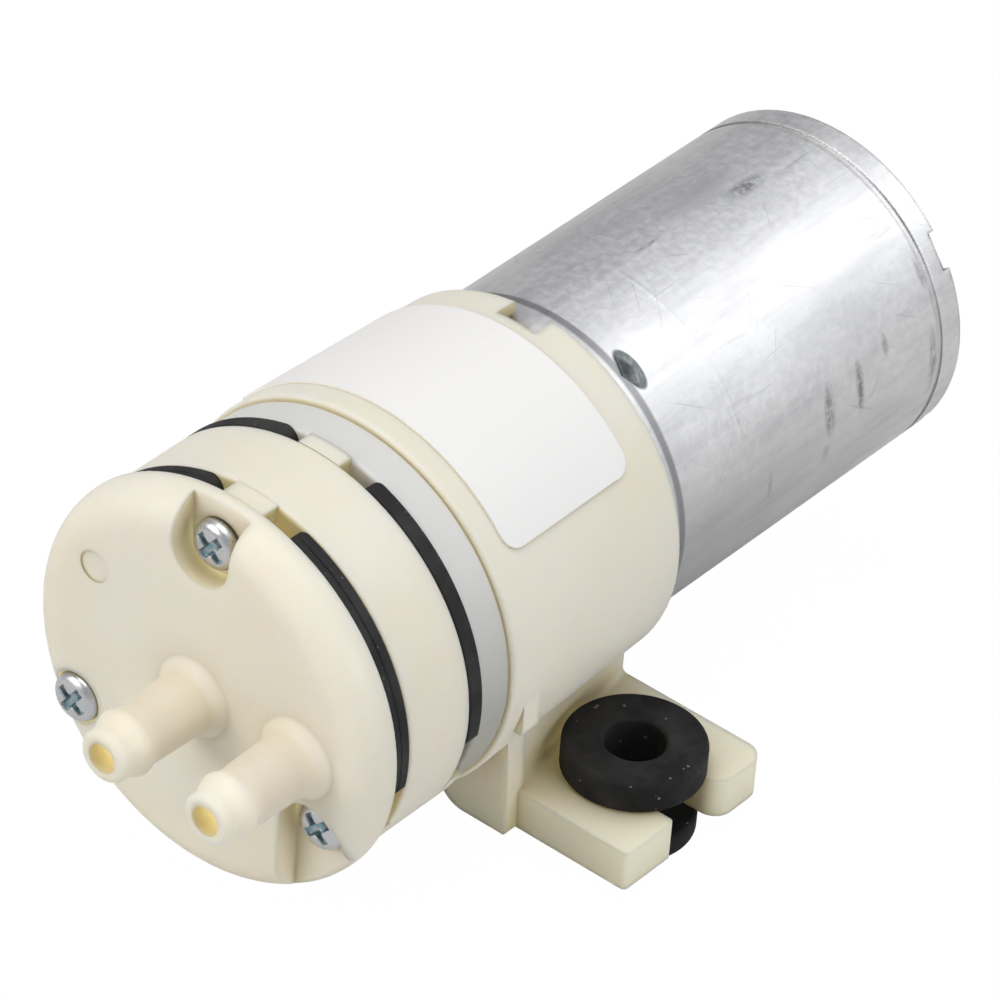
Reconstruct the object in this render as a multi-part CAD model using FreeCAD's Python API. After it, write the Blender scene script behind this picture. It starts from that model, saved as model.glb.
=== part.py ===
import FreeCAD, Part
import math
import os

# Three-chamber diaphragm vacuum pump driven by a direct-current motor, in millimetres.
# The pump axis runs along Y: the nozzles point to -Y, the motor to +Y, and Z is up.
# The origin lies midway between the two mounting grommets, in the plane on which they stand.

V = FreeCAD.Vector

# Stack of the pump along its axis, from the motor side to the nozzles
axis_height = 21.0
case_rear = 4.95
case_length = 19.8
holder_thickness = 3.35
flange_thickness = 1.35
valve_body_length = 6.6
sheet_thickness = 0.9
sheet_rim_round = 0.15
sheet_corner_round = 1.2
cover_length = 3.45
nozzle_length = 9.6

# Outer radii of the stack
body_radius = 15.7
cover_overhang = 0.5
holder_inset = 0.3
case_front_step = 0.1
cover_shoulder = 3.0
edge_round = 0.3

# Screws that hold the stack together, as angles from the top towards +X
screw_count = 3
screw_inset = 2.95
screw_radius = 1.0
screw_length = 20.0
screw_hole_play = 0.15
screw_head_radius = 2.0
screw_head_height = 1.3
head_round_share = 0.7
recess_depth_share = 0.6
recess_arm_share = 0.62
recess_width_share = 0.13
pocket_depths = (2.2, 2.2, 0.6)
pocket_radii = (2.65, 2.65, 2.15)
pocket_run_outs = (1, -1, 0)
land_turn = 2.0
land_half_angle = 7.0
gasket_gaps = ((-10.0, 17.0), (102.0, 138.0), (222.0, 258.0))
land_depth = 4.5
gasket_ring_width = 0.7
gasket_spoke_half_angle = 12.0

# Pumping chambers and their ports
chamber_circle_radius = 7.2
chamber_radius = 4.3
chamber_depth = 2.0
exhaust_circle_radius = 3.9
exhaust_port_radius = 0.6
intake_circle_radius = 8.5
intake_pocket_radius = 1.9
intake_web = 2.0
intake_port_circle_radius = 1.15
intake_port_radius = 0.4
intake_disc_radius = 1.8
intake_disc_thickness = 0.4
intake_stem_radius = 0.55
intake_knob_radius = 0.8
intake_knob_length = 0.8
flap_radius = 1.15
flap_slot = 0.4
flap_hinge_angle = 40.0

# Hollows and nozzles of the head cover
outlet_chamber_radius = 5.0
inlet_chamber_inner = 6.2
inlet_chamber_gap = 4.7
cover_hollow_depth = 2.0
screw_column_radius = 3.6
inlet_offset = 9.7
nozzle_stem_radius = 2.5
nozzle_neck_radius = 2.35
nozzle_barb_radius = 2.65
nozzle_tip_radius = 2.1
nozzle_bore_radius = 1.2
nozzle_root_round = 0.9
barb_start = 1.2
barb_end = 2.4
neck_start = 3.3
barb_round = 0.5

# Round mark that the mould leaves on the face of the cover
mark_x = -9.8
mark_rise = 6.3
mark_radius = 1.3
mark_depth = 0.15

# Diaphragm cups
cup_mouth_radius = 4.2
cup_bottom_radius = 3.3
cup_wall = 0.6
cup_bottom_thickness = 1.2
holder_hole_play = 0.4

# Wobble drive
pivot_y = -11.8
wobble_tilt = 9.0
plate_thickness = 1.8
plate_pad_radius = 2.5
plate_arm_width = 3.8
plate_hub_radius = 2.9
plate_tube_radius = 1.9
plate_tube_length = 4.6
stem_radius = 1.0
stem_hole_play = 0.05
stem_knob_radius = 1.5
stem_knob_length = 1.1
pin_radius = 0.75
pin_play = 0.05
pin_start = -0.3
pin_end = 8.0
pin_blind_gap = 0.3
eccentric_front = -6.5
eccentric_rear = -0.4
eccentric_radius = 5.0
collar_radius = 1.6
collar_gap = 0.3

# Case
case_wall = 2.9
motor_wall = 2.2
screw_boss_radius = 2.4
socket_depth = 2.3
socket_play = 0.15
socket_wall = 1.1
boss_hole_play = 0.2
notch_width = 3.6
notch_depth = 2.2
foot_web_offset = 1.35
side_pad_inset = 0.3
side_pad_front_gap = 1.8
side_pad_length = 1.9
side_pad_drop = 5.6
side_pad_rise = -1.5

# Foot
foot_clearance = 1.8
foot_thickness = 3.4
foot_half_depth = 8.15
leg_inner = 5.5
leg_front_outer = 11.4
leg_rear_outer = 8.5
leg_rear_rise = 2.4
leg_root_round = 0.45
web_outer = 12.05
web_top_outer = 11.5
web_thickness = 2.0
leg_round = 2.4
slot_width = 5.4
slot_centre = 16.15
slot_length = 6.15
prong_front_round = 0.4
prong_rear_round = 1.6

# Grommets
grommet_flange_radius = 5.5
grommet_lower_radius = 5.1
grommet_top_thickness = 2.6
grommet_hole_radius = 2.35
grommet_round = 0.35
grommet_neck_play = 0.1

# Label
label_angles = (-56.0, 54.0)
label_front_gap = 2.2
label_width = 14.1
label_thickness = 0.2
label_corner = 1.5

# Motor
can_radius = 13.85
can_length = 37.8
can_wall = 1.0
can_shoulder = 3.2
can_boss_radius = 4.5
can_boss_height = 1.6
dimple_angles = (30.5, 210.5)
dimple_offset = 4.7
dimple_length = 3.4
dimple_width = 1.5
dimple_depth = 0.8
can_groove_rear_gap = 2.2
can_groove_width = 0.6
can_groove_depth = 0.12
rim_notch_angles = (54.0, 126.0, 234.0, 306.0)
rim_notch_depth = 0.7
rim_notch_width = 3.1
cap_thickness = 3.0
cap_inset = 0.5
cap_boss_radius = 4.2
cap_boss_height = 1.8
cap_key_reach = 0.8
cap_key_root = 1.0
shaft_radius = 1.15
shaft_front = -3.5
shaft_tail = 0.6
bearing_radius = 2.6
bearing_length = 3.0
bearing_play = 0.03
motor_screw_spacing = 16.0
motor_screw_radius = 1.25
motor_screw_head_radius = 2.25
motor_screw_head_height = 1.6
motor_screw_length = 4.5
magnet_thickness = 2.6
magnet_half_angle = 66.0
magnet_overhang = 3.0
air_gap = 0.4
pole_count = 5
pole_tip_thickness = 1.2
pole_gap_angle = 14.0
pole_neck_width = 2.6
core_yoke_radius = 3.6
core_front_gap = 8.5
winding_overhang = 2.2
winding_inner = 4.0
winding_side_gap = 0.5
commutator_radius = 3.0
commutator_length = 5.0
commutator_gap = 0.8
commutator_cap_gap = 1.8
commutator_groove_width = 0.3
commutator_groove_depth = 0.45
brush_width = 2.2
brush_length = 2.6
brush_play = 0.3
brush_arm_thickness = 0.4
terminal_width = 2.8
terminal_thickness = 0.5
terminal_reach = 4.2
terminal_hole_radius = 0.7
terminal_offset = 9.0

# Radii that follow from the stack and the motor
cover_radius = body_radius + cover_overhang
holder_radius = body_radius - holder_inset
case_front_radius = body_radius + case_front_step
case_rear_radius = can_radius + socket_play + socket_wall
screw_circle_radius = body_radius - screw_inset
land_inner = body_radius - land_depth
inlet_chamber_outer = body_radius - inlet_chamber_gap
foot_reach = slot_centre + slot_length

# Stations that follow from the stack
case_front = case_rear - case_length
holder_front = case_front - holder_thickness
valve_body_rear = holder_front - flange_thickness
valve_body_front = valve_body_rear - valve_body_length
valve_sheet_front = valve_body_front - sheet_thickness
cover_rear = valve_sheet_front - sheet_thickness
cover_face = cover_rear - cover_length
nozzle_tip = cover_face - nozzle_length
pocket_floors = [cover_face + depth for depth in pocket_depths]
chamber_roof = valve_body_rear - chamber_depth
can_front = case_rear - socket_depth
can_rear = can_front + can_length
motor_wall_front = can_front - motor_wall
cap_front = can_rear - cap_inset - cap_thickness
cap_rear = can_rear - cap_inset
shaft_rear = cap_rear + cap_boss_height + shaft_tail
commutator_rear = cap_front - commutator_cap_gap
commutator_front = commutator_rear - commutator_length
winding_rear = commutator_front - commutator_gap
core_rear = winding_rear - winding_overhang
core_front = can_front + can_wall + core_front_gap
magnet_front = core_front - magnet_overhang
magnet_rear = core_rear + magnet_overhang
magnet_inner = can_radius - can_wall - magnet_thickness
core_radius = magnet_inner - air_gap
cavity_radius = case_front_radius - case_wall
foot_top = foot_clearance + foot_thickness
foot_front = -foot_half_depth
gasket_gap_inner = land_inner - edge_round
screw_angles = [index * 360.0 / screw_count for index in range(screw_count)]
chamber_angles = [angle + 180.0 / screw_count for angle in screw_angles]
overlap = 0.1
reach = 40.0

AXIS = V(0, 0, axis_height)
ALONG = V(0, 1, 0)
PIVOT = V(0, pivot_y, axis_height)


def polar(radius, angle):
    """Offsets in X and Z of a point that lies at an angle from the top towards +X."""
    turn = math.radians(angle)
    return radius * math.sin(turn), radius * math.cos(turn)


def disc(radius, front, rear, x=0.0, z=0.0):
    """Cylinder parallel to the pump axis between two stations."""
    return Part.makeCylinder(radius, rear - front, V(x, front, axis_height + z), ALONG)


def ring(outer, inner, front, rear, x=0.0, z=0.0):
    """Round tube parallel to the pump axis."""
    return disc(outer, front, rear, x, z).cut(disc(inner, front - overlap, rear + overlap, x, z))


def block(x_low, x_high, y_low, y_high, z_low, z_high):
    """Box between two corners."""
    return Part.makeBox(x_high - x_low, y_high - y_low, z_high - z_low, V(x_low, y_low, z_low))


def fused(shapes):
    """One solid from several that touch or overlap."""
    whole = shapes[0]
    for shape in shapes[1:]:
        whole = whole.fuse(shape)
    return whole.removeSplitter()


def face_inside(corners, place):
    """Face inside a closed outline of (a, b) or (a, b, round) corners; place gives a corner's point."""
    count = len(corners)
    points = [V(corner[0], corner[1], 0) for corner in corners]
    stretches = []
    for index, corner in enumerate(corners):
        here = points[index]
        radius = corner[2] if len(corner) > 2 else 0.0
        if radius == 0.0:
            stretches.append((here, here, here))
            continue
        back = (points[index - 1] - here).normalize()
        ahead = (points[(index + 1) % count] - here).normalize()
        half = 0.5 * back.getAngle(ahead)
        start = here + back * (radius / math.tan(half))
        end = here + ahead * (radius / math.tan(half))
        middle = (back + ahead).normalize()
        top = here + middle * (radius / math.sin(half) - radius)
        stretches.append((start, top, end))
    edges = []
    for index, (start, top, end) in enumerate(stretches):
        if start != end:
            edges.append(Part.Arc(place(start), place(top), place(end)).toShape())
        following = stretches[(index + 1) % count][0]
        if end.distanceToPoint(following) > 1e-6:
            edges.append(Part.makeLine(place(end), place(following)))
    return Part.Face(Part.Wire(edges))


def turned(corners, start=0.0, sweep=360.0):
    """Solid of revolution about the pump axis from (radius, station) corners."""
    outline = face_inside(corners, lambda p: V(0, p.y, axis_height + p.x))
    outline.rotate(AXIS, ALONG, start)
    return outline.revolve(AXIS, ALONG, sweep)


def upright(corners, low, high):
    """Prism along Z from (x, y) corners."""
    return face_inside(corners, lambda p: V(p.x, p.y, low)).extrude(V(0, 0, high - low))


def lengthwise(corners, front, rear):
    """Prism along Y from (x, height above the axis) corners."""
    outline = face_inside(corners, lambda p: V(p.x, front, axis_height + p.y))
    return outline.extrude(V(0, rear - front, 0))


def tilted(shape):
    """Lean a shape about the pivot by the wobble angle."""
    leaning = shape.copy()
    leaning.rotate(PIVOT, V(1, 0, 0), wobble_tilt)
    return leaning


def at_screws(make):
    """One shape per stack screw, joined in a compound."""
    return Part.makeCompound([make(*polar(screw_circle_radius, angle)) for angle in screw_angles])


def screw_holes(front, rear, play=screw_hole_play):
    """Through holes for the stack screws."""
    return at_screws(lambda x, z: disc(screw_radius + play, front - overlap, rear + overlap, x, z))


def lands(front, rear):
    """Pads beside the screws that pass through the gaps of a rubber sheet."""
    corners = [(land_inner, front), (body_radius, front), (body_radius, rear), (land_inner, rear)]
    turn = land_turn - land_half_angle
    pads = [turned(corners, angle + turn, 2 * land_half_angle) for angle in screw_angles]
    return [pad.cut(screw_holes(front, rear)) for pad in pads]


def gasket_openings(front, rear):
    """Gaps in a rubber sheet round the lands."""
    low, high = front - overlap, rear + overlap
    corners = [(gasket_gap_inner, low), (reach, low), (reach, high), (gasket_gap_inner, high)]
    return Part.makeCompound([turned(corners, start, end - start) for start, end in gasket_gaps])


def screw_pocket(index):
    """Recess for one screw head; a deep one runs out through the rim, upwards or downwards."""
    x, z = polar(screw_circle_radius, screw_angles[index])
    radius, floor = pocket_radii[index], pocket_floors[index]
    front = cover_face - overlap
    pocket = disc(radius, front, floor, x, z)
    if pocket_run_outs[index] == 0:
        return pocket
    low, high = sorted((z, z + pocket_run_outs[index] * reach))
    run_out = block(x - radius, x + radius, front, floor, axis_height + low, axis_height + high)
    return fused([pocket, run_out])


def inlet_hollow(front, rear):
    """Ring-shaped inlet passage that leaves a column round each screw."""
    passage = ring(inlet_chamber_outer, inlet_chamber_inner, front, rear)
    low, high = front - overlap, rear + overlap
    return passage.cut(at_screws(lambda x, z: disc(screw_column_radius, low, high, x, z)))


def nozzle(x):
    """Hose nozzle with a rounded barb, turned about its own axis."""
    root = cover_face + overlap
    corners = [
        (0, root),
        (nozzle_stem_radius + nozzle_root_round, root),
        (nozzle_stem_radius, cover_face - nozzle_root_round, nozzle_root_round),
        (nozzle_neck_radius, nozzle_tip + neck_start, barb_round),
        (nozzle_barb_radius, nozzle_tip + barb_end, barb_round),
        (nozzle_tip_radius, nozzle_tip + barb_start, barb_round),
        (nozzle_tip_radius, nozzle_tip, barb_round),
        (0, nozzle_tip),
    ]
    stem = turned(corners)
    stem.translate(V(x, 0, 0))
    return stem


def head_cover():
    """Cover with the outlet nozzle in its middle and the inlet nozzle beside it."""
    shell = turned([
        (0, cover_face),
        (cover_radius, cover_face, cover_shoulder),
        (cover_radius, cover_rear, edge_round),
        (0, cover_rear),
    ])
    for index in range(screw_count):
        shell = shell.cut(screw_pocket(index))
    cover = fused([shell, nozzle(0), nozzle(inlet_offset)])
    hollow_floor = cover_rear - cover_hollow_depth
    cover = cover.cut(disc(outlet_chamber_radius, hollow_floor, cover_rear + overlap))
    cover = cover.cut(inlet_hollow(hollow_floor, cover_rear + overlap))
    for x in (0, inlet_offset):
        cover = cover.cut(disc(nozzle_bore_radius, nozzle_tip - overlap, hollow_floor + overlap, x))
    cover = cover.cut(disc(mark_radius, cover_face - overlap, cover_face + mark_depth, mark_x, mark_rise))
    return cover.cut(screw_holes(cover_face, cover_rear))


def is_gap_corner(edge):
    """True for an edge where the rim of a rubber sheet ends at a gap."""
    ends = [V(vertex.Point.x, 0, vertex.Point.z) for vertex in edge.Vertexes]
    for angle in (angle for gap in gasket_gaps for angle in gap):
        x, z = polar(body_radius, angle)
        corner = V(x, 0, axis_height + z)
        if all(end.distanceToPoint(corner) < overlap for end in ends):
            return True
    return False


def rubber_sheet(front, rear):
    """Round sheet with gaps for the lands, rounded at the gaps and along its rims."""
    plan = disc(body_radius, front, rear).cut(gasket_openings(front, rear))
    plan = plan.makeFillet(sheet_corner_round, [edge for edge in plan.Edges if is_gap_corner(edge)])
    return plan.common(turned([
        (0, front),
        (body_radius, front, sheet_rim_round),
        (body_radius, rear, sheet_rim_round),
        (0, rear),
    ]))


def cover_gasket():
    """Front sheet, open over the outlet chamber and the inlet passage."""
    sheet = rubber_sheet(cover_rear, valve_sheet_front)
    low, high = cover_rear - overlap, valve_sheet_front + overlap
    sheet = sheet.cut(disc(outlet_chamber_radius, low, high))
    outer = gasket_gap_inner - gasket_ring_width
    window = [(inlet_chamber_inner, low), (outer, low), (outer, high), (inlet_chamber_inner, high)]
    half_sweep = 180.0 / screw_count - gasket_spoke_half_angle
    for angle in chamber_angles:
        sheet = sheet.cut(turned(window, angle - half_sweep, 2 * half_sweep))
    return sheet


def flap_slot_cut(angle):
    """Curved slot that frees one exhaust flap, open towards its hinge near the pump axis."""
    low, high = valve_sheet_front - overlap, valve_body_front + overlap
    inner, outer = flap_radius, flap_radius + flap_slot
    corners = [(inner, low), (outer, low), (outer, high), (inner, high)]
    slot = turned(corners, angle - 180.0 + flap_hinge_angle, 360.0 - 2 * flap_hinge_angle)
    x, z = polar(exhaust_circle_radius, angle)
    slot.translate(V(x, 0, z))
    return slot


def valve_sheet():
    """Rear sheet with three exhaust flaps and an opening over each intake valve."""
    sheet = rubber_sheet(valve_sheet_front, valve_body_front)
    low, high = valve_sheet_front - overlap, valve_body_front + overlap
    for angle in chamber_angles:
        sheet = sheet.cut(flap_slot_cut(angle))
        x, z = polar(intake_circle_radius, angle)
        sheet = sheet.cut(disc(intake_pocket_radius, low, high, x, z))
    return sheet


def valve_body():
    """Body with the chamber roofs behind, the valve ports between and the lands on both faces."""
    body = turned([
        (0, valve_body_front),
        (body_radius, valve_body_front, edge_round),
        (body_radius, valve_body_rear, edge_round),
        (0, valve_body_rear),
    ])
    pocket_end = chamber_roof - intake_web
    for angle in chamber_angles:
        x, z = polar(chamber_circle_radius, angle)
        body = body.cut(disc(chamber_radius, chamber_roof, valve_body_rear + overlap, x, z))
        x, z = polar(exhaust_circle_radius, angle)
        body = body.cut(disc(exhaust_port_radius, valve_body_front - overlap, chamber_roof + overlap, x, z))
        x, z = polar(intake_circle_radius, angle)
        body = body.cut(disc(intake_pocket_radius, valve_body_front - overlap, pocket_end, x, z))
        body = body.cut(disc(intake_stem_radius, pocket_end - overlap, chamber_roof + overlap, x, z))
        for port in range(3):
            dx, dz = polar(intake_port_circle_radius, angle + port * 120.0)
            hole = disc(intake_port_radius, pocket_end - overlap, chamber_roof + overlap, x + dx, z + dz)
            body = body.cut(hole)
    body = body.cut(screw_holes(valve_body_front, valve_body_rear))
    front_lands = lands(cover_rear, valve_body_front + overlap)
    rear_lands = lands(valve_body_rear - overlap, holder_front)
    return fused([body] + front_lands + rear_lands)


def intake_valves():
    """Umbrella valves under the chamber roofs, one per chamber."""
    valves = []
    head_rear = chamber_roof - intake_web
    for angle in chamber_angles:
        x, z = polar(intake_circle_radius, angle)
        umbrella = disc(intake_disc_radius, chamber_roof, chamber_roof + intake_disc_thickness, x, z)
        stem = disc(intake_stem_radius, head_rear - overlap, chamber_roof + overlap, x, z)
        head = disc(intake_knob_radius, head_rear - intake_knob_length, head_rear, x, z)
        valves.append(fused([umbrella, stem, head]))
    return Part.makeCompound(valves)


def plate_disc(radius, front, rear, x=0.0, z=0.0):
    """Cylinder along the wobble plate's own axis, at distances behind the pivot."""
    return tilted(disc(radius, pivot_y + front, pivot_y + rear, x, z))


def diaphragm_cup(angle):
    """Outside and inside of one rubber cup whose bottom leans with the wobble plate."""
    x, z = polar(chamber_circle_radius, angle)
    bottom_rear = -0.5 * plate_thickness

    def cone(mouth, mouth_radius, bottom, bottom_radius):
        upper = Part.Wire(Part.makeCircle(mouth_radius, V(x, mouth, axis_height + z), ALONG))
        lower = Part.Wire(Part.makeCircle(bottom_radius, V(x, pivot_y + bottom, axis_height + z), ALONG))
        return Part.makeLoft([upper, tilted(lower)], True, True)

    outside = cone(holder_front - overlap, cup_mouth_radius, bottom_rear, cup_bottom_radius)
    inside = cone(valve_body_rear - overlap, cup_mouth_radius - cup_wall,
                  bottom_rear - cup_bottom_thickness, cup_bottom_radius - cup_wall)
    return outside, inside


def diaphragm_stem(angle):
    """Stem with a knob that the wobble plate pulls."""
    x, z = polar(chamber_circle_radius, angle)
    front, rear = -0.5 * plate_thickness, 0.5 * plate_thickness
    stem = plate_disc(stem_radius, front - overlap, rear + overlap, x, z)
    return stem.fuse(plate_disc(stem_knob_radius, rear, rear + stem_knob_length, x, z))


def diaphragm():
    """Rubber moulding: a clamped flange with three cups."""
    pieces = [rubber_sheet(valve_body_rear, holder_front)]
    hollows = []
    for angle in chamber_angles:
        outside, inside = diaphragm_cup(angle)
        pieces += [outside, diaphragm_stem(angle)]
        hollows.append(inside)
    return fused(pieces).cut(Part.makeCompound(hollows))


def diaphragm_holder():
    """Translucent ring plate that clamps the diaphragm and lets its cups through."""
    plate = turned([
        (0, holder_front),
        (holder_radius, holder_front, edge_round),
        (holder_radius, case_front, edge_round),
        (0, case_front),
    ])
    low, high = holder_front - overlap, case_front + overlap
    for angle in chamber_angles:
        x, z = polar(chamber_circle_radius, angle)
        plate = plate.cut(disc(cup_mouth_radius + holder_hole_play, low, high, x, z))
    return plate.cut(screw_holes(holder_front, case_front))


def leg_post(side, top_outer, top, front, rear):
    """Upright block of one leg, narrower towards its top."""
    return lengthwise([
        (side * leg_inner, top - axis_height),
        (side * top_outer, top - axis_height),
        (side * web_outer, foot_clearance - axis_height, edge_round),
        (side * leg_inner, foot_clearance - axis_height, leg_round),
    ], front, rear)


def foot_leg(side):
    """Leg of one side whose outer face runs inwards to the rear, past the grommet."""
    web_rear = foot_front - foot_web_offset + web_thickness
    top = axis_height - 0.5 * case_rear_radius
    front_part = leg_post(side, web_outer, top, web_rear - overlap, case_rear)
    rear_part = leg_post(side, web_outer, foot_top + leg_rear_rise, case_rear - overlap, foot_half_depth)
    plan = upright([
        (0, web_rear - overlap),
        (side * leg_front_outer, web_rear - overlap),
        (side * leg_rear_outer, foot_half_depth),
        (0, foot_half_depth),
    ], 0, axis_height)
    return fused([front_part, rear_part]).common(plan)


def foot_side(side):
    """Leg, slotted plate and front web of one side; side is 1 for +X and -1 for -X."""
    web_front = foot_front - foot_web_offset
    top = axis_height - 0.5 * case_rear_radius
    web = leg_post(side, web_top_outer, top, web_front, web_front + web_thickness)
    plate_inner = leg_inner + leg_round
    plate = upright([
        (side * plate_inner, foot_front),
        (side * foot_reach, foot_front, prong_front_round),
        (side * foot_reach, -0.5 * slot_width, prong_front_round),
        (side * slot_centre, -0.5 * slot_width),
        (side * slot_centre, 0.5 * slot_width),
        (side * foot_reach, 0.5 * slot_width, prong_rear_round),
        (side * foot_reach, foot_half_depth, prong_rear_round),
        (side * plate_inner, foot_half_depth),
    ], foot_clearance, foot_top)
    slot_end = Part.makeCylinder(0.5 * slot_width, reach, V(side * slot_centre, 0, foot_clearance - overlap))
    foot = fused([foot_leg(side), plate.cut(slot_end)])
    foot = foot.makeFillet(leg_root_round, leg_root(foot))
    return fused([foot, web])


def leg_root(foot):
    """Edge along which the leg's slanting outer face meets the top of the plate."""
    def slants_at_plate(edge):
        first, last = edge.Vertexes[0].Point, edge.Vertexes[-1].Point
        level = abs(first.z - foot_top) < overlap and abs(last.z - foot_top) < overlap
        return level and abs(first.x - last.x) > overlap and abs(first.y - last.y) > case_rear
    return [edge for edge in foot.Edges if slants_at_plate(edge)]


def side_pad(side):
    """Flat pad that stands upright against the widest part of the case."""
    outer = case_front_radius - side_pad_inset
    front = case_front + side_pad_front_gap
    return lengthwise([
        (side * (cavity_radius + side_pad_inset), side_pad_rise),
        (side * outer, side_pad_rise),
        (side * outer, -side_pad_drop, edge_round),
        (side * (cavity_radius + side_pad_inset), -side_pad_drop),
    ], front, front + side_pad_length)


def pump_case():
    """Case that carries the motor, holds the wobble drive and stands on the foot."""
    outside = turned([
        (0, case_front),
        (case_front_radius, case_front, edge_round),
        (case_rear_radius, case_rear, edge_round),
        (0, case_rear),
    ])
    case = fused([outside] + [make(side) for side in (1, -1) for make in (foot_side, side_pad)])
    low, high = case_front - overlap, motor_wall_front
    cavity = disc(cavity_radius, low, high)
    case = case.cut(cavity.cut(at_screws(lambda x, z: disc(screw_boss_radius, low, high, x, z))))
    case = case.cut(disc(can_radius + socket_play, can_front, case_rear + overlap))
    low, high = motor_wall_front - overlap, can_front + overlap
    case = case.cut(disc(can_boss_radius + boss_hole_play, low, high))
    for x in (-0.5 * motor_screw_spacing, 0.5 * motor_screw_spacing):
        case = case.cut(disc(motor_screw_radius + screw_hole_play, low, high, x))
    notch = block(-0.5 * notch_width, 0.5 * notch_width, case_rear - notch_depth, case_rear + overlap,
                  axis_height, axis_height + reach)
    case = case.cut(notch)
    for angle, floor in zip(screw_angles, pocket_floors):
        x, z = polar(screw_circle_radius, angle)
        case = case.cut(disc(screw_radius, case_front - overlap, floor + screw_length, x, z))
    return case


def pan_head_screw(radius, length, head_radius, head_height, seat, x, z):
    """Pan-head screw along +Y whose head rests at the seat, with a cross recess."""
    head = turned([
        (0, seat - head_height),
        (head_radius, seat - head_height, head_round_share * head_height),
        (head_radius, seat),
        (0, seat),
    ])
    shank = disc(radius, seat - overlap, seat + length)
    arm = recess_arm_share * head_radius
    thin = recess_width_share * head_radius
    front = seat - head_height - overlap
    rear = seat - (1 - recess_depth_share) * head_height
    for half_x, half_z in ((arm, thin), (thin, arm)):
        slot = block(-half_x, half_x, front, rear, axis_height - half_z, axis_height + half_z)
        head = head.cut(slot)
    screw = fused([head, shank])
    screw.translate(V(x, 0, z))
    return screw


def cover_screws():
    """Three identical screws through the stack into the case."""
    screws = []
    for angle, floor in zip(screw_angles, pocket_floors):
        x, z = polar(screw_circle_radius, angle)
        screws.append(pan_head_screw(
            screw_radius, screw_length, screw_head_radius, screw_head_height, floor, x, z))
    return Part.makeCompound(screws)


def motor_screws():
    """Two screws that hold the motor's front against the case wall."""
    places = (-0.5 * motor_screw_spacing, 0.5 * motor_screw_spacing)
    return Part.makeCompound([pan_head_screw(
        motor_screw_radius, motor_screw_length, motor_screw_head_radius, motor_screw_head_height,
        motor_wall_front, x, 0) for x in places])


def grommet(side):
    """Rubber grommet that sits in a foot slot, with a flange above and below the plate."""
    top = foot_top + grommet_top_thickness
    neck_radius = 0.5 * slot_width - grommet_neck_play
    corners = [
        (grommet_hole_radius, 0, grommet_round),
        (grommet_lower_radius, 0, grommet_round),
        (grommet_lower_radius, foot_clearance, grommet_round),
        (neck_radius, foot_clearance),
        (neck_radius, foot_top),
        (grommet_flange_radius, foot_top, grommet_round),
        (grommet_flange_radius, top, grommet_round),
        (grommet_hole_radius, top, grommet_round),
    ]
    outline = face_inside(corners, lambda p: V(p.x, 0, p.y))
    rubber = outline.revolve(V(0, 0, 0), V(0, 0, 1), 360)
    rubber.translate(V(side * slot_centre, 0, 0))
    return rubber


def case_skin(front, rear, lift):
    """Solid inside the tapered case surface, lifted outwards by a thickness."""
    slope = (case_rear_radius - case_front_radius) / case_length

    def radius(station):
        return case_front_radius + slope * (station - case_front) + lift

    return turned([(0, front), (radius(front), front), (radius(rear), rear), (0, rear)])


def case_label():
    """Paper label with round corners, wrapped over the top of the case."""
    front = case_front + label_front_gap
    rear = front + label_width
    skin = case_skin(front, rear, label_thickness).cut(case_skin(front - overlap, rear + overlap, 0.0))
    start, end = label_angles
    sweep = end - start
    rounding = math.degrees(label_corner / case_front_radius)
    wedge = [(0.5 * cavity_radius, front), (reach, front), (reach, rear), (0.5 * cavity_radius, rear)]
    inner = [(0.5 * cavity_radius, front + label_corner), (reach, front + label_corner),
             (reach, rear - label_corner), (0.5 * cavity_radius, rear - label_corner)]
    shape = fused([turned(wedge, start + rounding, sweep - 2 * rounding), turned(inner, start, sweep)])
    for angle in (start + rounding, end - rounding):
        for station in (front + label_corner, rear - label_corner):
            x, z = polar(1.0, angle)
            round_off = Part.makeCylinder(label_corner, reach, V(0, station, axis_height), V(x, 0, z))
            shape = shape.fuse(round_off)
    return skin.common(shape)


def rim_cut(angle):
    """Tool for one notch in the rear rim of the can."""
    half = 0.5 * rim_notch_width
    tool = block(-half, half, can_rear - rim_notch_depth, can_rear + overlap,
                 axis_height, axis_height + reach)
    tool.rotate(AXIS, ALONG, angle)
    return tool


def can_dimple(angle):
    """Diamond-shaped punch mark behind the front shoulder of the can."""
    surface = axis_height + can_radius
    middle = V(0, can_front + dimple_offset, surface)
    deepest = V(0, middle.y, surface - dimple_depth)
    half_long = V(0.5 * dimple_length, 0, 0)
    half_wide = V(0, 0.5 * dimple_width, 0)
    outline = [middle + half_long, middle + half_wide, middle - half_long, middle - half_wide]
    faces = []
    for index, corner in enumerate(outline):
        following = outline[index - 1]
        faces.append(Part.Face(Part.makePolygon([corner, following, deepest, corner])))
    faces.append(Part.Face(Part.makePolygon(outline + [outline[0]])))
    tool = Part.Solid(Part.Shell(faces))
    tool.rotate(AXIS, ALONG, angle)
    return tool


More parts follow.
